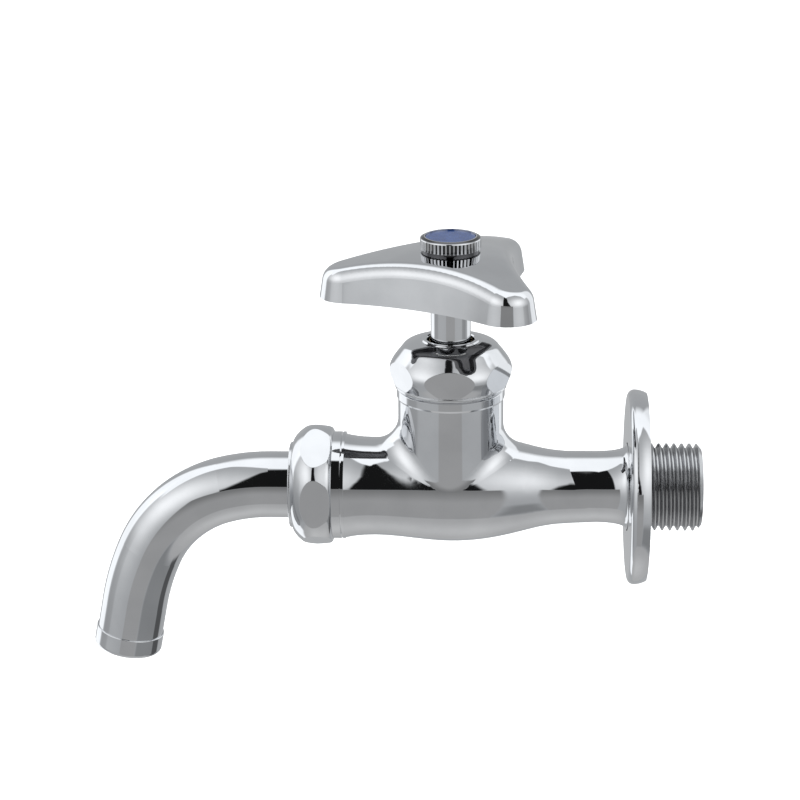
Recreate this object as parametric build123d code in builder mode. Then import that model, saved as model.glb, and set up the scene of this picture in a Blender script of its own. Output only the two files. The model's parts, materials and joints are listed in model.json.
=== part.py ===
from build123d import *
from math import asin, cos, pi, sin
import os

# Wall-mounted 13 mm tap: G1/2 inlet, rising spindle, three-armed handle and swivelling bent spout.
# Frame: millimetres. X is the inlet axis, with X = 0 at the root of the inlet thread and +X going into
# the wall. +Z is up, along the valve. The spout leaves towards -X and hangs in the XZ plane.

# ---- driving dimensions (mm) ----
valve_x = -44.45            # valve axis, measured from the start of the inlet thread
inlet_thread_r = 10.4775    # G1/2 crest radius
inlet_pitch = 1.814
inlet_thread_depth = 1.1
inlet_length = 15.4
shank_r = 8.55              # slim run between body and escutcheon
bore_r = 6.2                # waterway through the shank

neck_r = 12.55              # upright neck that carries the valve
neck_top_z = 31.5
neck_thread_r = 12.0        # under the cap nut
body_blend_r = 6.0          # hollow between neck and body
belly_drop = 0.2            # the body's turned axis hangs this far below the inlet axis

spout_thread_r = 12.9       # W26-20 crest radius
spout_thread_pitch = 1.27
spout_thread_depth = 0.7
body_end_x = valve_x - 35.05        # face that carries the spout thread
shoulder_x = body_end_x + 9.2       # where the spout thread meets the body

pipe_r = 8.0                # 16 mm spout pipe
pipe_wall = 1.1
pipe_end_x = body_end_x + 12.5      # inner end, inside the body
bend_start_x = body_end_x - 8.5
bend_radii = (44.2, 28.5, 58.7)     # easing in, main bend, easing out
bend_angles = (14.3, 50.5, 14.2)    # degrees turned by each
outlet_straight = 12.0      # straight run from the bend to the outlet

spout_nut_r = 14.85
spout_nut_flat = spout_nut_r - 1.25     # axis to wrench flat
spout_nut_face_x = body_end_x - 3.6
spout_nut_back_x = body_end_x + 6.9
cap_nut_r = 14.5
cap_nut_flat = cap_nut_r - 1.2
cap_nut_z = neck_top_z - 6.2        # lower rim
cap_nut_top_z = neck_top_z + 5.7

spindle_r = 4.75
spindle_thread_r = 8.0
spindle_lead = 2.5          # rise per turn
handle_turns = 1.5          # closed to fully open
jumper_stem_r = 3.0
seat_bore_r = 6.2
seat_z = 1.0

handle_z = cap_nut_top_z + 10.7     # lower rim of the handle
handle_crown_z = handle_z + 10.85   # height of the domed top on its axis
handle_crown_r = 108.7      # radius of the dome
handle_seat_z = handle_crown_z - 0.25   # spot face that the screw head bears on
handle_arm_r = 23.86        # axis to the centre of an arm's round tip
handle_tip_r = 6.85
handle_waist_r = 15.8       # axis to the outline midway between arms
handle_first_arm = -56.5    # degrees from +X
handle_draft = 9.0          # lean of the side walls, degrees
handle_edge_r = 3.8
handle_wall = 1.8
screw_head_r = 7.15
screw_head_h = 3.55
screw_shank_r = 1.95
knurls = 46
knurl_r = 0.5               # half the diagonal of a knurl's square cutter

flange_r = 23.4
flange_front_x = -2.2
flange_corner_r = 1.6       # between the face and the rim
flange_rim_r = 5.6          # slow curve of the rim back to the wall
flange_rim_depth = 2.9      # from the widest point to the wall
flange_t = 0.9
outlet_ring_r = pipe_r + 0.3
outlet_ring_h = 5.0

run_gap = 0.05              # radial running clearance of a shaft in its hole
slide_gap = 0.05            # between flat faces that slide on each other
loose_gap = 0.15            # easy clearance of a part slipped over another

lift = spindle_lead * handle_turns


# ---- helpers ----
def valve_plane(z=0.0):
    """Level plane centred on the valve axis."""
    return Plane(origin=(valve_x, 0, z), x_dir=(1, 0, 0), z_dir=(0, 0, 1))


def cross_plane(x, z=0.0):
    """Plane square to the inlet axis, facing +X, with its own x along -Y."""
    return Plane(origin=(x, 0, z), x_dir=(0, -1, 0), z_dir=(1, 0, 0))


def thread_groove(start_x, crest_r, pitch, length, depth, crest_flat):
    """Helical V groove about the inlet axis that leaves flat crests at crest_r."""
    half_top = (pitch - crest_flat) / 2
    half_root = 0.2 * half_top
    lip = 0.12
    half_lip = half_top + (half_top - half_root) * lip / depth
    with BuildPart() as groove:
        with BuildLine() as path:
            Helix(pitch=pitch, height=length, radius=crest_r, center=(start_x, 0, 0), direction=(1, 0, 0))
        helix = path.edges()[0]
        outward = Vector(0, (helix @ 0).Y, (helix @ 0).Z)
        with BuildSketch(Plane(origin=helix @ 0, x_dir=outward, z_dir=helix % 0)):
            with BuildLine():
                Polyline(
                    (lip, half_lip),
                    (-depth, half_root),
                    (-depth, -half_root),
                    (lip, -half_lip),
                    close=True,
                )
            make_face()
        sweep(path=helix, is_frenet=True)
    return groove.part


def wrench_flats(plane, flat, nut_r, first=0.0):
    """Six blocks whose inner faces lie at flat from the axis, reaching past nut_r."""
    width = nut_r - flat + 2
    with BuildPart() as blocks:
        with BuildSketch(plane):
            with PolarLocations(0, 6, start_angle=first):
                with Locations((flat + width / 2, 0)):
                    Rectangle(width, 1.2 * flat)
        extrude(amount=nut_r, both=True)
    return blocks.part


def star_outline(inset):
    """Outline of the three-armed handle, moved inward by inset."""
    hollow_r = (handle_arm_r * handle_waist_r - handle_waist_r**2 - handle_arm_r**2 + handle_tip_r**2) / (
        2 * handle_waist_r - handle_arm_r - 2 * handle_tip_r
    )
    hollow_d = handle_waist_r + hollow_r
    tip_r = handle_tip_r - inset
    with BuildSketch() as star:
        with BuildLine():
            for arm in range(3):
                tip, before, hollow, after = (
                    Vector(distance, 0).rotate(Axis.Z, handle_first_arm + 120 * arm + turn)
                    for distance, turn in (
                        (handle_arm_r, 0),
                        (hollow_d, -60),
                        (hollow_d, 60),
                        (handle_arm_r, 120),
                    )
                )
                near = tip + (before - tip).normalized() * tip_r
                far = tip + (hollow - tip).normalized() * tip_r
                ThreePointArc(near, tip + tip.normalized() * tip_r, far)
                next_near = after + (hollow - after).normalized() * tip_r
                ThreePointArc(far, hollow.normalized() * (handle_waist_r - inset), next_near)
        make_face()
    return star.sketch_local


os.makedirs("parts", exist_ok=True)

# ---- body casting ----
valve_axis = Axis((valve_x, 0, 0), (0, 0, 1))
chamber_r = 10.3
chamber_top_z = 13.5
chamber_floor_z = 0.0
partition_z = -2.2
passage_low_r = 3.8
passage_low_z = partition_z - passage_low_r
passage_high_r = 4.8
passage_high_z = chamber_floor_z + passage_high_r + 0.2
inlet_bore_end_x = valve_x + chamber_r + 3.2
packing_pocket_r = 9.5
packing_floor_z = neck_top_z - 6.9
seal_pocket_r = pipe_r + 2.2
seal_pocket_x = body_end_x + 5.0
pipe_stop_x = pipe_end_x + 0.6
collar_z = neck_top_z - 8.9
collar_step = 0.3           # the collar stands this far out of the neck
flange_seat_r = 10.3        # shank where it passes through the escutcheon
land_x = flange_front_x + flange_t + 0.1    # plain land from here to X = 0
relief_r = 9.3              # undercut between the land and the thread
inlet_thread_x = 0.9
spout_groove_x = body_end_x - 1
inlet_groove = thread_groove(
    inlet_thread_x,
    inlet_thread_r,
    inlet_pitch,
    inlet_length - inlet_thread_x + 1,
    inlet_thread_depth,
    0.3,
)
spout_groove = thread_groove(
    spout_groove_x,
    spout_thread_r,
    spout_thread_pitch,
    shoulder_x - 0.3 - spout_groove_x,
    spout_thread_depth,
    0.2,
)

with BuildPart() as body_casting:
    # belly and tapering run, turned about a slightly lowered axis
    with BuildSketch(Plane.XZ):
        with BuildLine():
            top = Spline(
                (shoulder_x, 12.5),
                (valve_x - 23.15, 11.95),
                (valve_x - 19.15, 11.63),
                (valve_x - 12.25, 11.95),
                (valve_x - 1.0, 12.92),
                (valve_x + 9.45, 12.15),
                (valve_x + 16.65, 10.55),
                (valve_x + 22.95, 9.05),
                (valve_x + 28.65, 8.48),
                (-9.0, shank_r - 2 * belly_drop),
            )
            Polyline(top @ 1, (-9.0, -belly_drop), (shoulder_x, -belly_drop), top @ 0)
        make_face()
    revolve(axis=Axis((0, 0, -belly_drop), (1, 0, 0)))
    # neck, blended into the belly
    with BuildSketch(valve_plane()):
        Circle(neck_r)
    extrude(amount=collar_z)
    around_neck = body_casting.edges(Select.LAST).filter_by(GeomType.CIRCLE, reverse=True)
    fillet(around_neck.filter_by(lambda e: abs(e.center().Z) < neck_r), radius=body_blend_r)
    # collar and cap nut thread above the neck
    with BuildSketch(Plane.XZ):
        with BuildLine():
            Polyline(
                (valve_x, collar_z - 1),
                (valve_x + neck_r, collar_z - 1),
                (valve_x + neck_r, collar_z),
                (valve_x + neck_r + collar_step, collar_z + 0.5),
                (valve_x + neck_r + collar_step, cap_nut_z - 0.5),
                (valve_x + neck_r - 0.1, cap_nut_z - 0.1),
                (valve_x + neck_thread_r, cap_nut_z - 0.1),
                (valve_x + neck_thread_r, neck_top_z - 0.4),
                (valve_x + neck_thread_r - 0.4, neck_top_z),
                (valve_x, neck_top_z),
                close=True,
            )
        make_face()
    revolve(axis=valve_axis)
    # shank flaring to the escutcheon, relief behind it, and the inlet thread blank
    with BuildSketch(Plane.XZ):
        with BuildLine():
            flare = Spline(
                (-12.0, shank_r),
                (-7.0, shank_r + 0.12),
                (-4.4, shank_r + 0.5),
                (flange_front_x - 0.1, flange_seat_r),
                tangents=[(1, 0), (0.35, 1)],
            )
            Polyline(
                flare @ 1,
                (land_x, flange_seat_r),
                (land_x, inlet_thread_r),
                (0, inlet_thread_r),
                (0, relief_r),
                (inlet_thread_x, relief_r),
                (inlet_thread_x, inlet_thread_r),
                (inlet_length - 1.1, inlet_thread_r),
                (inlet_length, inlet_thread_r - 1.3),
                (inlet_length, 0),
                (valve_x + 8, 0),
                (valve_x + 8, shank_r),
                flare @ 0,
            )
        make_face()
    revolve(axis=Axis.X)
    # spout thread blank
    with BuildSketch(cross_plane(body_end_x)):
        Circle(spout_thread_r)
    extrude(amount=shoulder_x - body_end_x + 0.6)
    with BuildSketch(cross_plane(shoulder_x - 0.35)):
        Circle(spout_thread_r)
        Circle(spout_thread_r - 1.0, mode=Mode.SUBTRACT)
    extrude(amount=0.35, mode=Mode.SUBTRACT)
    # inlet waterway, S-bend under the seat, seat bore
    with BuildSketch(cross_plane(inlet_bore_end_x)):
        Circle(bore_r)
    extrude(amount=inlet_length - inlet_bore_end_x, mode=Mode.SUBTRACT)
    with BuildSketch(cross_plane(valve_x, passage_low_z)):
        Circle(passage_low_r)
    extrude(amount=inlet_bore_end_x - valve_x + 4, mode=Mode.SUBTRACT)
    with BuildSketch(valve_plane(passage_low_z - passage_low_r)):
        Circle(seat_bore_r + 0.6)
    extrude(amount=2 * passage_low_r, mode=Mode.SUBTRACT)
    with BuildSketch(valve_plane(partition_z - 1)):
        Circle(seat_bore_r)
    extrude(amount=seat_z - partition_z + 1, mode=Mode.SUBTRACT)
    # valve chamber around the raised seat, spindle thread bore, packing pocket
    with BuildSketch(valve_plane(chamber_floor_z)):
        Circle(chamber_r)
        Circle(seat_bore_r + 1.5, mode=Mode.SUBTRACT)
    extrude(amount=seat_z - chamber_floor_z, mode=Mode.SUBTRACT)
    with BuildSketch(valve_plane(seat_z)):
        Circle(chamber_r)
    extrude(amount=chamber_top_z - seat_z, mode=Mode.SUBTRACT)
    with BuildSketch(valve_plane(chamber_top_z)):
        Circle(spindle_thread_r + run_gap)
    extrude(amount=neck_top_z - chamber_top_z, mode=Mode.SUBTRACT)
    with BuildSketch(valve_plane(packing_floor_z)):
        Circle(packing_pocket_r)
    extrude(amount=neck_top_z - packing_floor_z, mode=Mode.SUBTRACT)
    # outlet passage, pipe socket and seal pocket
    with BuildSketch(cross_plane(pipe_stop_x - 2, passage_high_z)):
        Circle(passage_high_r)
    extrude(amount=valve_x - pipe_stop_x + 2, mode=Mode.SUBTRACT)
    with BuildSketch(cross_plane(body_end_x)):
        Circle(pipe_r + run_gap)
    extrude(amount=pipe_stop_x - body_end_x, mode=Mode.SUBTRACT)
    with BuildSketch(cross_plane(pipe_stop_x)):
        Circle(pipe_r - pipe_wall)
    extrude(amount=2.5, mode=Mode.SUBTRACT)
    with BuildSketch(cross_plane(body_end_x)):
        Circle(seal_pocket_r)
    extrude(amount=seal_pocket_x - body_end_x, mode=Mode.SUBTRACT)
    # threads
    add(inlet_groove, mode=Mode.SUBTRACT)
    add(spout_groove, mode=Mode.SUBTRACT)
body_casting.part.label = "body_casting"
export_step(body_casting.part, "parts/body_casting.step")

# ---- escutcheon: thin pressed dish, rim rolled back to the wall ----
widest_x = flange_front_x + flange_corner_r
wall_x = widest_x + flange_rim_depth
flange_hole_r = inlet_thread_r + loose_gap


def rim_section(inset):
    """Points along the escutcheon's rim, inset from its outside: corner start, middle, widest, back."""
    corner_r = flange_corner_r - inset
    corner_z = flange_r - flange_corner_r
    slow_r = flange_rim_r - inset
    slow_z = flange_r - flange_rim_r
    slow_turn = asin(flange_rim_depth / flange_rim_r)
    return (
        (widest_x - corner_r, corner_z),
        (widest_x - corner_r * sin(pi / 4), corner_z + corner_r * cos(pi / 4)),
        (widest_x, corner_z + corner_r),
        (widest_x + slow_r * sin(slow_turn / 2), slow_z + slow_r * cos(slow_turn / 2)),
        (widest_x + slow_r * sin(slow_turn), slow_z + slow_r * cos(slow_turn)),
    )


outer_rim = rim_section(0)
inner_rim = rim_section(flange_t)

with BuildPart() as escutcheon:
    with BuildSketch(Plane.XZ):
        with BuildLine():
            for rim in (outer_rim, inner_rim):
                ThreePointArc(rim[0], rim[1], rim[2])
                ThreePointArc(rim[2], rim[3], rim[4])
            Polyline(outer_rim[4], (wall_x, inner_rim[4][1] - 0.3), inner_rim[4])
            Polyline(
                inner_rim[0],
                (flange_front_x + flange_t, flange_hole_r),
                (flange_front_x, flange_hole_r),
                outer_rim[0],
            )
        make_face()
    revolve(axis=Axis.X)
escutcheon.part.label = "escutcheon"
export_step(escutcheon.part, "parts/escutcheon.step")

# ---- valve top: seat ring, packing, follower and cap nut ----
ring_gap = 0.12             # clearance of loose rings in their pocket
seat_ring_t = 1.4
packing_t = 3.6
follower_t = 3.6
packing_z = packing_floor_z + seat_ring_t
follower_z = packing_z + packing_t
nut_ceiling_z = follower_z + follower_t
cone_z = packing_z + 0.45 * packing_t       # outer end of the coned joint between packing and follower

with BuildPart() as packing_seat_ring:
    with BuildSketch(valve_plane(packing_floor_z)):
        Circle(packing_pocket_r - ring_gap)
        Circle(spindle_r + loose_gap, mode=Mode.SUBTRACT)
    extrude(amount=seat_ring_t)
    chamfer(packing_seat_ring.edges().filter_by(GeomType.CIRCLE).sort_by(SortBy.RADIUS)[-2:], length=0.25)
packing_seat_ring.part.label = "packing_seat_ring"
export_step(packing_seat_ring.part, "parts/packing_seat_ring.step")

with BuildPart() as gland_packing:
    with BuildSketch(Plane.XZ):
        with BuildLine():
            inner = valve_x + spindle_r + run_gap
            outer = valve_x + packing_pocket_r - ring_gap
            Polyline(
                (inner, packing_z),
                (outer, packing_z),
                (outer, cone_z),
                (inner + 1.6, follower_z),
                (inner, follower_z),
                close=True,
            )
        make_face()
    revolve(axis=valve_axis)
gland_packing.part.label = "gland_packing"
export_step(gland_packing.part, "parts/gland_packing.step")

with BuildPart() as gland_follower:
    with BuildSketch(Plane.XZ):
        with BuildLine():
            inner = valve_x + spindle_r + loose_gap
            outer = valve_x + packing_pocket_r - ring_gap
            Polyline(
                (inner, follower_z),
                (inner + 1.5, follower_z),
                (outer, cone_z + 0.1),
                (outer, nut_ceiling_z),
                (inner, nut_ceiling_z),
                close=True,
            )
        make_face()
    revolve(axis=valve_axis)
gland_follower.part.label = "gland_follower"
export_step(gland_follower.part, "parts/gland_follower.step")

cap_hole_r = spindle_r + 0.85
cap_widest_z = cap_nut_z + 5.0
cap_bead_r = neck_r + 0.7    # plain bead under the flats
cap_wrench_cuts = wrench_flats(valve_plane(cap_widest_z), cap_nut_flat, cap_nut_r, first=30)

with BuildPart() as cap_nut:
    with BuildSketch(Plane.XZ):
        with BuildLine():
            dome = Spline(
                (valve_x + cap_nut_r - 1.0, cap_nut_z + 1.1),
                (valve_x + cap_nut_r, cap_widest_z),
                (valve_x + cap_nut_r - 2.6, cap_nut_z + 9.3),
                (valve_x + cap_hole_r + 1.9, cap_nut_top_z - 0.45),
                tangents=[(0.35, 1), (-1, 0.16)],
            )
            Polyline(
                dome @ 1,
                (valve_x + cap_hole_r + 1.35, cap_nut_top_z - 0.45),
                (valve_x + cap_hole_r + 1.05, cap_nut_top_z),
                (valve_x + cap_hole_r + 0.3, cap_nut_top_z),
                (valve_x + cap_hole_r, cap_nut_top_z - 0.3),
                (valve_x + cap_hole_r, nut_ceiling_z),
                (valve_x + neck_thread_r, nut_ceiling_z),
                (valve_x + neck_thread_r, cap_nut_z),
                (valve_x + cap_bead_r - 0.25, cap_nut_z),
                (valve_x + cap_bead_r, cap_nut_z + 0.3),
                (valve_x + cap_bead_r, cap_nut_z + 0.75),
                (valve_x + cap_bead_r - 0.2, cap_nut_z + 0.9),
                dome @ 0,
            )
        make_face()
    revolve(axis=valve_axis)
    add(cap_wrench_cuts, mode=Mode.SUBTRACT)
cap_nut.part.label = "cap_nut"
export_step(cap_nut.part, "parts/cap_nut.step")

# ---- spout joint: nut, slip ring, retaining ring and U seal ----
nut_lip_x = spout_nut_face_x + 0.6
nut_shoulder_x = body_end_x - 1.8
nut_thread_x = body_end_x - 0.8
nut_widest_x = body_end_x + 2.5
slip_ring_t = 0.8
groove_r = pipe_r - 0.65
retainer_r = pipe_r + 2.8
retainer_x = nut_shoulder_x + slip_ring_t + slide_gap
retainer_t = body_end_x - slide_gap - retainer_x
pocket_r = retainer_r + 0.5
spout_hole_r = pipe_r + 0.3
spout_lip_r = spout_hole_r + 2.0
spout_wrench_cuts = wrench_flats(cross_plane(nut_widest_x), spout_nut_flat, spout_nut_r)

with BuildPart() as spout_nut:
    with BuildSketch(Plane.XZ):
        with BuildLine():
            dome = Spline(
                (nut_lip_x, spout_lip_r),
                (nut_widest_x - 4.0, spout_nut_r - 2.1),
                (nut_widest_x, spout_nut_r),
                (nut_widest_x + 2.8, spout_nut_r - 0.45),
                (spout_nut_back_x, spout_thread_r + 0.2),
                tangents=[(0.25, 1), (0.3, -1)],
            )
            Polyline(
                dome @ 1,
                (spout_nut_back_x, spout_thread_r),
                (nut_thread_x, spout_thread_r),
                (nut_thread_x, pocket_r),
                (nut_shoulder_x, pocket_r),
                (nut_shoulder_x, spout_hole_r),
                (spout_nut_face_x, spout_hole_r),
                (spout_nut_face_x, spout_lip_r - 0.2),
                (spout_nut_face_x + 0.2, spout_lip_r),
                dome @ 0,
            )
        make_face()
    revolve(axis=Axis.X)
    add(spout_wrench_cuts, mode=Mode.SUBTRACT)
spout_nut.part.label = "spout_nut"
export_step(spout_nut.part, "parts/spout_nut.step")

with BuildPart() as slip_ring:
    with BuildSketch(cross_plane(nut_shoulder_x)):
        Circle(pocket_r - ring_gap)
        Circle(spout_hole_r, mode=Mode.SUBTRACT)
    extrude(amount=slip_ring_t)
slip_ring.part.label = "slip_ring"
export_step(slip_ring.part, "parts/slip_ring.step")

with BuildPart() as retaining_ring:
    with BuildSketch(cross_plane(retainer_x)):
        Circle(retainer_r)
        Circle(groove_r, mode=Mode.SUBTRACT)
        with Locations((0, retainer_r)):
            Rectangle(1.2, 2 * (retainer_r - groove_r) + 2, mode=Mode.SUBTRACT)
    extrude(amount=retainer_t)
retaining_ring.part.label = "retaining_ring"
export_step(retaining_ring.part, "parts/retaining_ring.step")

with BuildPart() as u_packing:
    seal_start_x = body_end_x + 0.5
    with BuildSketch(Plane.XZ):
        with BuildLine():
            low = pipe_r + run_gap
            high = seal_pocket_r - ring_gap
            mid = (low + high) / 2
            Polyline(
                (seal_start_x, low),
                (seal_start_x, high),
                (seal_pocket_x - 0.2, high),
                (seal_pocket_x - 0.2, high - 0.55),
                (seal_pocket_x - 2.0, mid),
                (seal_pocket_x - 0.2, low + 0.55),
                (seal_pocket_x - 0.2, low),
                close=True,
            )
        make_face()
    revolve(axis=Axis.X)
u_packing.part.label = "u_packing"
export_step(u_packing.part, "parts/u_packing.step")

# ---- spout pipe and outlet ring ----
with BuildPart() as spout_pipe:
    with BuildLine(Plane.XZ) as route:
        straight = Line((pipe_end_x, 0), (bend_start_x, 0))
        reach = straight
        for radius, angle in zip(bend_radii, bend_angles):
            reach = JernArc(start=reach @ 1, tangent=reach % 1, radius=radius, arc_size=angle)
        Line(reach @ 1, (reach @ 1) + (reach % 1) * outlet_straight)
    with BuildSketch(Plane(origin=route.line @ 0, x_dir=(0, 1, 0), z_dir=route.line % 0)):
        Circle(pipe_r)
        Circle(pipe_r - pipe_wall, mode=Mode.SUBTRACT)
    sweep(path=route.line)
    with BuildSketch(cross_plane(retainer_x - slide_gap)):
        Circle(pipe_r + 1)
        Circle(groove_r, mode=Mode.SUBTRACT)
    extrude(amount=retainer_t + 2 * slide_gap, mode=Mode.SUBTRACT)
spout_pipe.part.label = "spout_pipe"
export_step(spout_pipe.part, "parts/spout_pipe.step")
outlet_point = route.line @ 1
outlet_dir = route.line % 1
outlet_up = Plane(origin=outlet_point, x_dir=(0, 1, 0), z_dir=-outlet_dir)

with BuildPart() as outlet_ring:
    with BuildSketch(outlet_up.offset(-0.4)):
        Circle(outlet_ring_r)
        Circle(pipe_r - pipe_wall, mode=Mode.SUBTRACT)
    extrude(amount=outlet_ring_h)
    with BuildSketch(outlet_up):
        Circle(pipe_r)
    extrude(amount=outlet_ring_h, mode=Mode.SUBTRACT)
    rims = outlet_ring.edges().filter_by(GeomType.CIRCLE).sort_by(SortBy.RADIUS)[-2:]
    low_rim = rims.sort_by(Axis.Z)[0]
    high_rim = rims.sort_by(Axis.Z)[-1]
    fillet(low_rim, radius=1.2)
    fillet(high_rim, radius=0.2)
outlet_ring.part.label = "outlet_ring"
export_step(outlet_ring.part, "parts/outlet_ring.step")

# ---- jumper valve: stem and disc, rubber washer, nut ----
washer_t = 3.0
washer_r = 8.2
disc_t = 2.2
disc_z = seat_z + washer_t
disc_top_z = disc_z + disc_t
jumper_top_z = 20.0
stud_r = 1.9

with BuildPart() as jumper_valve:
    with BuildSketch(Plane.XZ):
        with BuildLine():
            Polyline(
                (valve_x, seat_z - 1.9),
                (valve_x + stud_r, seat_z - 1.9),
                (valve_x + stud_r, disc_z),
                (valve_x + washer_r + 0.2, disc_z),
                (valve_x + washer_r + 0.2, disc_top_z - 0.5),
                (valve_x + washer_r - 0.3, disc_top_z),
                (valve_x + jumper_stem_r, disc_top_z),
                (valve_x + jumper_stem_r, jumper_top_z - 0.5),
                (valve_x + jumper_stem_r - 0.5, jumper_top_z),
                (valve_x, jumper_top_z),
                close=True,
            )
        make_face()
    revolve(axis=valve_axis)
jumper_valve.part.label = "jumper_valve"
export_step(jumper_valve.part, "parts/jumper_valve.step")

with BuildPart() as jumper_washer:
    with BuildSketch(valve_plane(seat_z)):
        Circle(washer_r)
        Circle(stud_r, mode=Mode.SUBTRACT)
    extrude(amount=washer_t)
    chamfer(jumper_washer.edges().filter_by(GeomType.CIRCLE).sort_by(SortBy.RADIUS)[-2:], length=0.3)
jumper_washer.part.label = "jumper_washer"
export_step(jumper_washer.part, "parts/jumper_washer.step")

with BuildPart() as jumper_nut:
    with BuildSketch(valve_plane(seat_z - 1.8)):
        RegularPolygon(radius=3.4, side_count=6)
        Circle(stud_r, mode=Mode.SUBTRACT)
    extrude(amount=1.8)
jumper_nut.part.label = "jumper_nut"
export_step(jumper_nut.part, "parts/jumper_nut.step")

# ---- spindle ----
nose_z = disc_top_z + slide_gap
thread_low_z = 8.2
thread_high_z = packing_floor_z - lift - 0.4
spline_z = handle_z + 0.7
spline_top_z = handle_z + 8.3
spline_r = 4.2
spline_teeth = 20
tap_depth = 10.0


def spline_blank(z, height, grow=0.0):
    """Serrated drive shape on the valve axis."""
    with BuildPart() as drive:
        with BuildSketch(valve_plane(z)):
            Circle(spline_r + grow)
            with PolarLocations(spline_r + grow, spline_teeth):
                RegularPolygon(radius=0.42, side_count=4, mode=Mode.SUBTRACT)
        extrude(amount=height)
    return drive.part


spindle_drive = spline_blank(spline_z, spline_top_z - spline_z)

with BuildPart() as spindle:
    with BuildSketch(Plane.XZ):
        with BuildLine():
            Polyline(
                (valve_x, nose_z),
                (valve_x + 5.2, nose_z),
                (valve_x + 5.2, thread_low_z),
                (valve_x + spindle_thread_r - 0.6, thread_low_z),
                (valve_x + spindle_thread_r, thread_low_z + 0.6),
                (valve_x + spindle_thread_r, thread_high_z - 0.6),
                (valve_x + spindle_thread_r - 0.6, thread_high_z),
                (valve_x + spindle_r, thread_high_z),
                (valve_x + spindle_r, spline_z - 0.4),
                (valve_x + spindle_r - 0.4, spline_z),
                (valve_x, spline_z),
                close=True,
            )
        make_face()
    revolve(axis=valve_axis)
    add(spindle_drive)
    with BuildSketch(valve_plane(nose_z)):
        Circle(jumper_stem_r + run_gap)
    extrude(amount=jumper_top_z - nose_z + 1.0, mode=Mode.SUBTRACT)
    with BuildSketch(valve_plane(spline_top_z)):
        Circle(screw_shank_r)
    extrude(amount=-tap_depth, mode=Mode.SUBTRACT)
spindle.part.label = "spindle"
export_step(spindle.part, "parts/spindle.step")

# ---- handle: hollow casting with a serrated bush ----
top_t = 2.2
bush_r = 5.9
boss_r = 7.4
bush_z = handle_z + 1.3
cavity_z = handle_crown_z - top_t


def handle_solid(inset, low, crown, edge):
    """Three-armed block under a shallow dome, with its upper rim rounded."""
    outline = star_outline(inset)
    reach = handle_arm_r + handle_tip_r + 6
    fall = handle_crown_r - (handle_crown_r**2 - reach**2) ** 0.5
    half_fall = handle_crown_r - (handle_crown_r**2 - (reach / 2) ** 2) ** 0.5
    with BuildPart() as block:
        with BuildSketch(valve_plane(low)):
            add(outline)
        extrude(amount=crown - low, taper=handle_draft)
        with BuildSketch(Plane.XZ):
            with BuildLine():
                ThreePointArc(
                    (valve_x, crown),
                    (valve_x + reach / 2, crown - half_fall),
                    (valve_x + reach, crown - fall),
                )
                Polyline(
                    (valve_x + reach, crown - fall),
                    (valve_x + reach, low - 1),
                    (valve_x, low - 1),
                    (valve_x, crown),
                )
            make_face()
        revolve(axis=valve_axis, mode=Mode.INTERSECT)
        above = block.edges().filter_by(lambda e: e.center().Z > low + 1)
        rim = above.filter_by(lambda e: abs(e.position_at(0).Z - e.position_at(1).Z) < 3.5)
        fillet(rim, radius=edge)
    return block.part


handle_outside = handle_solid(0, handle_z, handle_crown_z, handle_edge_r)
handle_inside = handle_solid(handle_wall, handle_z - 1, cavity_z, handle_edge_r - handle_wall)

with BuildPart() as handle:
    add(handle_outside)
    add(handle_inside, mode=Mode.SUBTRACT)
    with BuildSketch(valve_plane(bush_z - 0.4)):
        Circle(boss_r)
    extrude(amount=cavity_z - bush_z + 0.6)
    with BuildSketch(valve_plane(handle_seat_z)):
        Circle(screw_head_r + loose_gap)
    extrude(amount=handle_crown_z - handle_seat_z, mode=Mode.SUBTRACT)
    with BuildSketch(valve_plane(bush_z - 1)):
        Circle(bush_r)
    extrude(amount=spline_top_z - bush_z + 1, mode=Mode.SUBTRACT)
    with BuildSketch(valve_plane(bush_z)):
        Circle(screw_shank_r + loose_gap)
    extrude(amount=handle_seat_z - bush_z + 1, mode=Mode.SUBTRACT)
handle.part.label = "handle"
export_step(handle.part, "parts/handle.step")

bush_socket = spline_blank(bush_z - 1, spline_top_z - bush_z + 2, grow=0.03)

with BuildPart() as spline_bush:
    with BuildSketch(valve_plane(bush_z)):
        Circle(bush_r)
    extrude(amount=spline_top_z - bush_z)
    add(bush_socket, mode=Mode.SUBTRACT)
spline_bush.part.label = "spline_bush"
export_step(spline_bush.part, "parts/spline_bush.step")

# ---- knurled screw and index disc ----
disc_r = 5.9
disc_h = 1.0
head_z = handle_seat_z
head_top_z = head_z + screw_head_h
knurl_z = head_z + 0.7

with BuildPart() as handle_screw:
    with BuildSketch(valve_plane(head_z)):
        Circle(screw_head_r - 0.5)
    extrude(amount=knurl_z - head_z)
    with BuildSketch(valve_plane(knurl_z)):
        Circle(screw_head_r)
        with PolarLocations(screw_head_r + 0.1, knurls):
            RegularPolygon(radius=knurl_r, side_count=4, mode=Mode.SUBTRACT)
    extrude(amount=head_top_z - 0.55 - knurl_z)
    with BuildSketch(Plane.XZ):
        with BuildLine():
            Polyline(
                (valve_x, head_top_z - 0.55),
                (valve_x + screw_head_r, head_top_z - 0.55),
                (valve_x + screw_head_r - 0.1, head_top_z - 0.35),
                (valve_x + disc_r + 0.45, head_top_z),
                (valve_x, head_top_z),
                close=True,
            )
        make_face()
    revolve(axis=valve_axis)
    with BuildSketch(valve_plane(head_top_z)):
        Circle(disc_r + 0.05)
    extrude(amount=-disc_h, mode=Mode.SUBTRACT)
    with BuildSketch(valve_plane(head_z)):
        Circle(screw_shank_r)
    extrude(amount=spline_top_z - tap_depth + 1 - head_z)
handle_screw.part.label = "handle_screw"
export_step(handle_screw.part, "parts/handle_screw.step")

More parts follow.
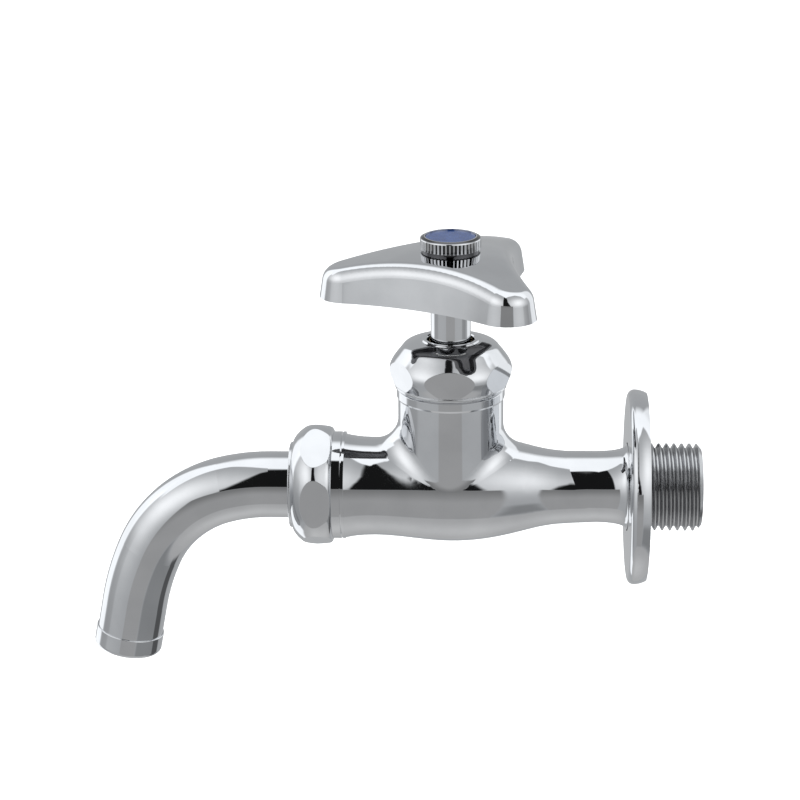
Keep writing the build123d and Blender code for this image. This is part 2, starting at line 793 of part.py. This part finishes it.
with BuildPart() as index_disc:
    with BuildSketch(valve_plane(head_top_z - disc_h)):
        Circle(disc_r)
    extrude(amount=disc_h - 0.3)
index_disc.part.label = "index_disc"
export_step(index_disc.part, "parts/index_disc.step")
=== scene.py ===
import json
import math

import bpy
from mathutils import Matrix, Vector


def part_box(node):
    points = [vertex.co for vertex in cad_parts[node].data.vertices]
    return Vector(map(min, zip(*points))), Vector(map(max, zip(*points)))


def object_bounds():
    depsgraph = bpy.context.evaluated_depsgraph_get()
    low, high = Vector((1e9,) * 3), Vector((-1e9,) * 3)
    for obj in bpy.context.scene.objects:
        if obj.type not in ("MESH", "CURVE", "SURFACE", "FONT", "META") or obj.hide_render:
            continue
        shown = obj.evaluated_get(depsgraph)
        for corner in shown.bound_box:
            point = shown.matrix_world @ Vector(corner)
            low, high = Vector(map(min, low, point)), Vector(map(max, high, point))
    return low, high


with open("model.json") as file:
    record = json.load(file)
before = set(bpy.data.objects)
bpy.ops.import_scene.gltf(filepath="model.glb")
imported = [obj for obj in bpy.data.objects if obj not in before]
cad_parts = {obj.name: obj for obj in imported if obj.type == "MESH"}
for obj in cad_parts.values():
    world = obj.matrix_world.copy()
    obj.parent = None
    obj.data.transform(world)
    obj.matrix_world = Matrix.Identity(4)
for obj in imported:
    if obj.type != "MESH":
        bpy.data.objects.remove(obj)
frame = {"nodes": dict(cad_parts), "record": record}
cad_low, cad_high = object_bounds()
nodes = frame["nodes"]
centre = (cad_low + cad_high) / 2
valve_low, valve_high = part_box("cap_nut")
valve_x = (valve_low[0] + valve_high[0]) / 2
spout_thread_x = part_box("spout_nut")[1][0]      # the spout thread is cut from here outward
inlet_thread_x = 0.0005     # the inlet thread is cut from here into the wall
screw_low, screw_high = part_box("handle_screw")
screw_r = (screw_high[0] - screw_low[0]) / 2


# ---- node helpers ----
class Tree:
    """A material's or world's nodes, with short calls for the few kinds used here."""

    def __init__(self, owner):
        owner.use_nodes = True
        self.tree = owner.node_tree
        self.tree.nodes.clear()

    def add(self, kind, **settings):
        node = self.tree.nodes.new(kind)
        for name, value in settings.items():
            setattr(node, name, value)
        return node

    def put(self, socket, value):
        if isinstance(value, bpy.types.NodeSocket):
            self.tree.links.new(value, socket)
        else:
            socket.default_value = value

    def math(self, operation, *values):
        node = self.add("ShaderNodeMath", operation=operation)
        for socket, value in zip(node.inputs, values):
            self.put(socket, value)
        return node.outputs[0]

    def ramp(self, value, low, high, out_low=0.0, out_high=1.0, kind="SMOOTHSTEP"):
        node = self.add("ShaderNodeMapRange", interpolation_type=kind)
        for socket, number in zip(node.inputs, (value, low, high, out_low, out_high)):
            self.put(socket, number)
        return node.outputs[0]

    def band(self, value, low, high, soft):
        rise = self.ramp(value, low - soft, low + soft)
        fall = self.ramp(value, high - soft, high + soft, 1.0, 0.0)
        return self.math("MULTIPLY", rise, fall)

    def mix(self, factor, a, b):
        node = self.add("ShaderNodeMix", data_type="RGBA")
        self.put(node.inputs[0], factor)
        self.put(node.inputs[6], a)
        self.put(node.inputs[7], b)
        return node.outputs[2]

    def level(self, amount):
        """A grey whose brightness is the given value or socket."""
        node = self.add("ShaderNodeCombineXYZ")
        for socket in node.inputs:
            self.put(socket, amount)
        return node.outputs[0]

    def add_light(self, colour, amount):
        node = self.add("ShaderNodeMix", data_type="RGBA", blend_type="ADD")
        self.put(node.inputs[0], 1.0)
        self.put(node.inputs[6], colour)
        self.put(node.inputs[7], self.level(amount))
        return node.outputs[2]

    def noise(self, vector, scale, detail=3.0, roughness=0.5):
        node = self.add("ShaderNodeTexNoise")
        self.put(node.inputs["Vector"], vector)
        self.put(node.inputs["Scale"], scale)
        self.put(node.inputs["Detail"], detail)
        self.put(node.inputs["Roughness"], roughness)
        return node.outputs["Fac"]

    def stretched(self, vector, scale):
        node = self.add("ShaderNodeMapping")
        self.put(node.inputs["Vector"], vector)
        self.put(node.inputs["Scale"], scale)
        return node.outputs["Vector"]

    def bump(self, height, depth, normal=None):
        node = self.add("ShaderNodeBump")
        self.put(node.inputs["Height"], height)
        self.put(node.inputs["Distance"], depth)
        self.put(node.inputs["Strength"], 1.0)
        if normal is not None:
            self.put(node.inputs["Normal"], normal)
        return node.outputs["Normal"]


def grey(level):
    """A grey that leans a little to blue."""
    return (level * 0.98, level, level * 1.02, 1.0)


# ---- studio: what polished metal sees all round ----
# Azimuth is measured from the camera's side (-Y) towards +X, elevation from the horizon, in degrees.
# Each panel: azimuth from/to, elevation from/to, softness, level.
PANELS = (
    ((-143, -107), (-60, 70), 4, 1.45),
    ((-101, -76), (-42, 10), 5, 0.42),
    ((110, 146), (-28, 60), 4, 1.25),
    ((95, 128), (-60, -29), 4, 0.12),
    ((70, 96), (-34, 2), 4, 0.36),
    ((27, 96), (-51, -27), 5, 0.33),
)
# Each soft box: azimuth and elevation of its middle, spread across and up, added level.
SOFT_BOXES = (
    (-58, 28, 44, 27, 0.95),
    (54, 28, 38, 27, 0.95),
)
BACK_LEVEL = 0.53
BACK_LOW_LEVEL = 0.5
BACK_LOW_EDGE = (158, 166)      # azimuth either side where the low far side begins
BACK_LOW_EL = (-50, 6)
GROUND_EL = -53
GROUND_LEVELS = (0.74, 0.58)    # straight down, at its edge
FRONT_AZ = (-25, 25)
FRONT_FADE_EL = -18             # the front panel darkens from here up
FRONT_LEVELS = (0.46, 0.26)     # low down, at its top edge
# Dark gap above the front panel; its right edge moves in as it climbs.
GAP_EL = (10.5, 80)
GAP_LEFT = -16
GAP_NARROWS = (13, 40)
GAP_RIGHT = (16, 6)
GAP_LEVEL = 0.012
# Overhead panel, on a level plane above: distances are over its height, positive to the far side.
OVERHEAD_LEVEL = 1.5
OVERHEAD_FRONT = -0.41          # front edge at the middle
OVERHEAD_SPREAD = 1.45          # how fast the front edge recedes to the sides
OVERHEAD_FRONT_SIDES = 0.15     # front edge at the sides
OVERHEAD_BACK = (0.46, 0.9)     # fades between these
OVERHEAD_SIDE = (1.35, 1.85)
OVERHEAD_RISE = (0.2, 0.3)      # upward part of the direction where it fades in
LEAST_RISE = 0.05               # keeps the division safe at the horizon

world = bpy.data.worlds.new("studio")
bpy.context.scene.world = world
w = Tree(world)
direction = w.add("ShaderNodeTexCoord").outputs["Generated"]
split = w.add("ShaderNodeSeparateXYZ")
w.put(split.inputs[0], direction)
east, north, up = split.outputs
toward = w.math("MULTIPLY", north, -1.0)
azimuth = w.math("MULTIPLY", w.math("ARCTAN2", east, toward), math.degrees(1))
elevation = w.math("MULTIPLY", w.math("ARCSINE", up), math.degrees(1))
far_side = w.ramp(w.math("ABSOLUTE", azimuth), *BACK_LOW_EDGE)
behind = w.math("MULTIPLY", far_side, w.band(elevation, *BACK_LOW_EL, 4))
light = w.mix(behind, grey(BACK_LEVEL), grey(BACK_LOW_LEVEL))
for (az_low, az_high), (el_low, el_high), soft, level in PANELS:
    across = w.band(azimuth, az_low, az_high, soft)
    mask = w.math("MULTIPLY", across, w.band(elevation, el_low, el_high, soft))
    light = w.mix(mask, light, grey(level))

ground = w.level(w.ramp(elevation, -90, GROUND_EL - 1, *GROUND_LEVELS))
light = w.mix(w.ramp(elevation, GROUND_EL - 3, GROUND_EL + 3, 1.0, 0.0), light, ground)
front_up = w.band(elevation, GROUND_EL, GAP_EL[0], 1.5)
front_panel = w.math("MULTIPLY", w.band(azimuth, *FRONT_AZ, 1.5), front_up)
front = w.level(w.ramp(elevation, FRONT_FADE_EL, GAP_EL[0] + 2, *FRONT_LEVELS))
light = w.mix(front_panel, light, front)

off_front = w.math("SUBTRACT", 1.0, front_panel)
for az_middle, el_middle, az_spread, el_spread, level in SOFT_BOXES:
    az_off = w.math("DIVIDE", w.math("SUBTRACT", azimuth, az_middle), az_spread)
    el_off = w.math("DIVIDE", w.math("SUBTRACT", elevation, el_middle), el_spread)
    reach = w.math("ADD", w.math("POWER", az_off, 2.0), w.math("POWER", el_off, 2.0))
    glow = w.math("MULTIPLY", w.math("EXPONENT", w.math("MULTIPLY", reach, -1.0)), level)
    light = w.add_light(light, w.math("MULTIPLY", glow, off_front))

gap_right = w.ramp(elevation, *GAP_NARROWS, *GAP_RIGHT, kind="LINEAR")
left_of_edge = w.ramp(w.math("SUBTRACT", gap_right, azimuth), -3.0, 2.0)
gap = w.math("MULTIPLY", w.ramp(azimuth, GAP_LEFT - 1.5, GAP_LEFT + 1.5), left_of_edge)
gap = w.math("MULTIPLY", gap, w.band(elevation, *GAP_EL, 1.2))
light = w.mix(gap, light, grey(GAP_LEVEL))

raised = w.math("MAXIMUM", up, LEAST_RISE)
along = w.math("DIVIDE", north, raised)
sideways = w.math("ABSOLUTE", w.math("DIVIDE", east, raised))
front_edge = w.math("ADD", w.math("MULTIPLY", sideways, OVERHEAD_SPREAD), OVERHEAD_FRONT)
front_edge = w.math("MINIMUM", front_edge, OVERHEAD_FRONT_SIDES)
overhead = w.ramp(w.math("SUBTRACT", along, front_edge), -0.04, 0.04)
overhead = w.math("MULTIPLY", overhead, w.ramp(up, *OVERHEAD_RISE))
overhead = w.math("MULTIPLY", overhead, w.ramp(along, *OVERHEAD_BACK, 1.0, 0.0))
overhead = w.math("MULTIPLY", overhead, w.ramp(sideways, *OVERHEAD_SIDE, 1.0, 0.0))
light = w.mix(overhead, light, grey(OVERHEAD_LEVEL))
background = w.add("ShaderNodeBackground")
w.put(background.inputs["Color"], light)
w.put(w.add("ShaderNodeOutputWorld").inputs["Surface"], background.outputs[0])


# ---- materials ----
def material(name):
    made = bpy.data.materials.new(name)
    tree = Tree(made)
    shader = tree.add("ShaderNodeBsdfPrincipled")
    tree.put(tree.add("ShaderNodeOutputMaterial").inputs["Surface"], shader.outputs[0])
    coords = tree.add("ShaderNodeTexCoord")
    return made, tree, shader, coords


CHROME_DARK = (0.585, 0.595, 0.61, 1)
CHROME_LIGHT = (0.635, 0.645, 0.66, 1)
CAST_DARK = (0.20, 0.20, 0.205, 1)
CAST_LIGHT = (0.40, 0.40, 0.41, 1)
CAST_ROUGHER = 0.33
CUT_DARK = (0.36, 0.365, 0.375, 1)
CUT_LIGHT = (0.56, 0.565, 0.575, 1)
CUT_ROUGHER = 0.17
# Painted shade: dark metal tinted into the screw's groove roots, where shade falls.
GROOVE_PAINTED_SHADE = (0.10, 0.10, 0.105, 1)
GROOVE_SHADE_REACH = 0.0006       # the painted groove shade stops this far inside the root radius


def chrome(name, wave_scale, wave_depth, **extra):
    """Bright chrome plate with faint polishing waves and haze.

    lines: (stretch, depth) of turning lines. cavity: mask of unpolished casting.
    threads: X of the two cut ends. grooves: radius at the crest and at the root, round the valve axis;
    painted shade darkens the metal in these grooves towards the root.
    soft_edge: radius of buffed edges.
    """
    made, t, shader, coords = material(name)
    place = coords.outputs["Object"]
    haze = t.noise(place, 95.0, 4.0)
    wave = t.noise(place, wave_scale, 2.0)
    colour = t.mix(t.ramp(haze, 0.3, 0.7), CHROME_DARK, CHROME_LIGHT)
    roughness = t.ramp(haze, 0.35, 0.75, 0.025, 0.06)
    edge = None
    if "soft_edge" in extra:
        rounded = t.add("ShaderNodeBevel", samples=6)
        t.put(rounded.inputs["Radius"], extra["soft_edge"])
        edge = rounded.outputs[0]
    normal = t.bump(wave, wave_depth, edge)
    if "lines" in extra:
        stretch, depth = extra["lines"]
        ridges = t.noise(t.stretched(place, stretch), 1.0, 2.0, 0.7)
        normal = t.bump(ridges, depth, normal)
    if "cavity" in extra:
        inside = extra["cavity"](t, coords)
        casting = t.noise(place, 700.0, 5.0, 0.65)
        colour = t.mix(inside, colour, t.mix(casting, CAST_DARK, CAST_LIGHT))
        roughness = t.math("ADD", roughness, t.math("MULTIPLY", inside, CAST_ROUGHER))
    if "threads" in extra:
        low_x, high_x = extra["threads"]
        along_x = t.add("ShaderNodeSeparateXYZ")
        t.put(along_x.inputs[0], place)
        cut = t.math("GREATER_THAN", along_x.outputs[0], high_x)
        cut = t.math("MAXIMUM", cut, t.math("LESS_THAN", along_x.outputs[0], low_x))
        scratch = t.noise(t.stretched(place, (9000, 500, 500)), 1.0, 3.0, 0.6)
        colour = t.mix(cut, colour, t.mix(scratch, CUT_DARK, CUT_LIGHT))
        roughness = t.math("ADD", roughness, t.math("MULTIPLY", cut, CUT_ROUGHER))
    # Painted shade: the metal between crest and root is tinted darker towards the groove root.
    if "grooves" in extra:
        crest_r, root_r = extra["grooves"]
        spot = t.add("ShaderNodeSeparateXYZ")
        t.put(spot.inputs[0], place)
        off_x = t.math("SUBTRACT", spot.outputs[0], valve_x)
        squares = t.math("ADD", t.math("POWER", off_x, 2.0), t.math("POWER", spot.outputs[1], 2.0))
        out = t.math("SQRT", squares)
        within_shade_reach = t.math("GREATER_THAN", out, root_r - GROOVE_SHADE_REACH)
        groove_shade = t.math("MULTIPLY", t.ramp(out, crest_r, root_r), within_shade_reach)
        colour = t.mix(groove_shade, colour, GROOVE_PAINTED_SHADE)
    t.put(shader.inputs["Base Color"], colour)
    t.put(shader.inputs["Roughness"], roughness)
    t.put(shader.inputs["Normal"], normal)
    shader.inputs["Metallic"].default_value = 1.0
    return made


def handle_hollow(t, coords):
    """1 on the unpolished underside and inner walls of the handle, 0 outside."""
    place = t.add("ShaderNodeSeparateXYZ")
    t.put(place.inputs[0], coords.outputs["Object"])
    facing = t.add("ShaderNodeSeparateXYZ")
    t.put(facing.inputs[0], coords.outputs["Normal"])
    out_x = t.math("MULTIPLY", t.math("SUBTRACT", place.outputs[0], valve_x), facing.outputs[0])
    out_y = t.math("MULTIPLY", place.outputs[1], facing.outputs[1])
    inward = t.math("LESS_THAN", t.math("ADD", out_x, out_y), -0.0004)
    below = t.math("LESS_THAN", facing.outputs[2], -0.4)
    return t.math("MAXIMUM", inward, below)


def brass(name):
    made, t, shader, coords = material(name)
    place = coords.outputs["Object"]
    stain = t.noise(place, 160.0, 5.0, 0.6)
    rings = t.noise(t.stretched(place, (9000, 300, 9000)), 1.0, 2.0)
    t.put(shader.inputs["Base Color"], t.mix(stain, (0.62, 0.44, 0.19, 1), (0.80, 0.62, 0.33, 1)))
    t.put(shader.inputs["Roughness"], t.ramp(stain, 0.3, 0.7, 0.2, 0.38))
    t.put(shader.inputs["Normal"], t.bump(rings, 0.000004))
    shader.inputs["Metallic"].default_value = 1.0
    return made


def rubber(name):
    made, t, shader, coords = material(name)
    grain = t.noise(coords.outputs["Object"], 2200.0, 4.0, 0.6)
    bloom = t.noise(coords.outputs["Object"], 220.0, 4.0, 0.6)
    t.put(shader.inputs["Base Color"], t.mix(bloom, (0.012, 0.012, 0.013, 1), (0.035, 0.035, 0.038, 1)))
    t.put(shader.inputs["Roughness"], t.ramp(grain, 0.3, 0.7, 0.55, 0.8))
    t.put(shader.inputs["Normal"], t.bump(grain, 0.00001))
    return made


def plastic(name, dark, bright, rough):
    made, t, shader, coords = material(name)
    cloud = t.noise(coords.outputs["Object"], 260.0, 4.0, 0.55)
    grain = t.noise(coords.outputs["Object"], 1500.0, 3.0, 0.5)
    t.put(shader.inputs["Base Color"], t.mix(t.ramp(cloud, 0.3, 0.7), dark, bright))
    t.put(shader.inputs["Roughness"], t.ramp(grain, 0.3, 0.7, *rough))
    t.put(shader.inputs["Normal"], t.bump(grain, 0.000002))
    return made


FINISHES = {
    "chrome_body": chrome("chrome_body", 110.0, 0.00001, threads=(spout_thread_x, inlet_thread_x)),
    "chrome_flange": chrome("chrome_flange", 90.0, 0.00002),
    "chrome_nuts": chrome("chrome_nuts", 150.0, 0.000006, soft_edge=0.00022),
    "chrome_spindle": chrome("chrome_spindle", 90.0, 0.000003, lines=((40, 40, 9000), 0.0000012)),
    "chrome_handle": chrome("chrome_handle", 80.0, 0.000014, cavity=handle_hollow),
    "chrome_screw": chrome("chrome_screw", 200.0, 0.000006, grooves=(screw_r - 0.00005, screw_r - 0.00035)),
    "chrome_pipe": chrome("chrome_pipe", 100.0, 0.000006),
    "brass": brass("brass"),
    "rubber": rubber("rubber"),
    "white_plastic": plastic("white_plastic", (0.72, 0.72, 0.69, 1), (0.8, 0.8, 0.78, 1), (0.32, 0.45)),
    "blue_index": plastic("blue_index", (0.008, 0.026, 0.1, 1), (0.014, 0.04, 0.135, 1), (0.16, 0.26)),
}
for part in frame["record"]["subparts"]:
    mesh = nodes[part["node"]].data
    mesh.materials.clear()
    mesh.materials.append(FINISHES[part["material_slot"]])

# ---- floor, light and camera ----
FLOOR_DROP = 0.22
FLOOR_HALF = 4.0
LAMP_SIZE = 2.4
LAMP_ENERGY = 45
LAMP_HEIGHT = 1.6
floor_z = cad_low[2] - FLOOR_DROP
floor_mesh = bpy.data.meshes.new("floor")
corners = [(x * FLOOR_HALF, y * FLOOR_HALF, floor_z) for x, y in ((-1, -1), (1, -1), (1, 1), (-1, 1))]
floor_mesh.from_pydata(corners, [], [(0, 1, 2, 3)])
floor = bpy.data.objects.new("floor", floor_mesh)
bpy.context.collection.objects.link(floor)
floor_material, t, shader, coords = material("floor")
speckle = t.noise(coords.outputs["Object"], 30.0, 4.0)
t.put(shader.inputs["Base Color"], t.mix(speckle, (0.93, 0.93, 0.93, 1), (0.95, 0.95, 0.95, 1)))
shader.inputs["Roughness"].default_value = 1.0
shader.inputs["Specular IOR Level"].default_value = 0.0
floor_mesh.materials.append(floor_material)
floor.visible_glossy = False

lamp_data = bpy.data.lights.new("overhead", "AREA")
lamp_data.size = LAMP_SIZE
lamp_data.energy = LAMP_ENERGY
lamp = bpy.data.objects.new("overhead", lamp_data)
lamp.location = (centre[0], 0, LAMP_HEIGHT)
lamp.visible_glossy = False
bpy.context.collection.objects.link(lamp)

VIEW_AZIMUTH = math.radians(-2.51)
VIEW_DROP = math.radians(18.71)
VIEW_ROLL = math.radians(-0.49)
VIEW_DISTANCE = 0.5714
VIEW_LENS = 108.0
AIM_OFFSET = Vector((0.0020, 0, 0.0127))
aim = Vector((centre[0], 0, centre[2])) + AIM_OFFSET
forward = Vector(
    (
        math.sin(VIEW_AZIMUTH) * math.cos(VIEW_DROP),
        math.cos(VIEW_AZIMUTH) * math.cos(VIEW_DROP),
        -math.sin(VIEW_DROP),
    )
)
level_right = Vector((math.cos(VIEW_AZIMUTH), -math.sin(VIEW_AZIMUTH), 0))
level_up = level_right.cross(forward)
right = level_right * math.cos(VIEW_ROLL) + level_up * math.sin(VIEW_ROLL)
over = level_up * math.cos(VIEW_ROLL) - level_right * math.sin(VIEW_ROLL)
camera_data = bpy.data.cameras.new("camera")
camera_data.lens = VIEW_LENS
camera_data.clip_start = 0.01
camera = bpy.data.objects.new("camera", camera_data)
turn = Matrix((right, over, -forward)).transposed().to_4x4()
camera.matrix_world = Matrix.Translation(aim - forward * VIEW_DISTANCE) @ turn
bpy.context.collection.objects.link(camera)
bpy.context.scene.camera = camera
bpy.context.scene.view_settings.view_transform = "Standard"
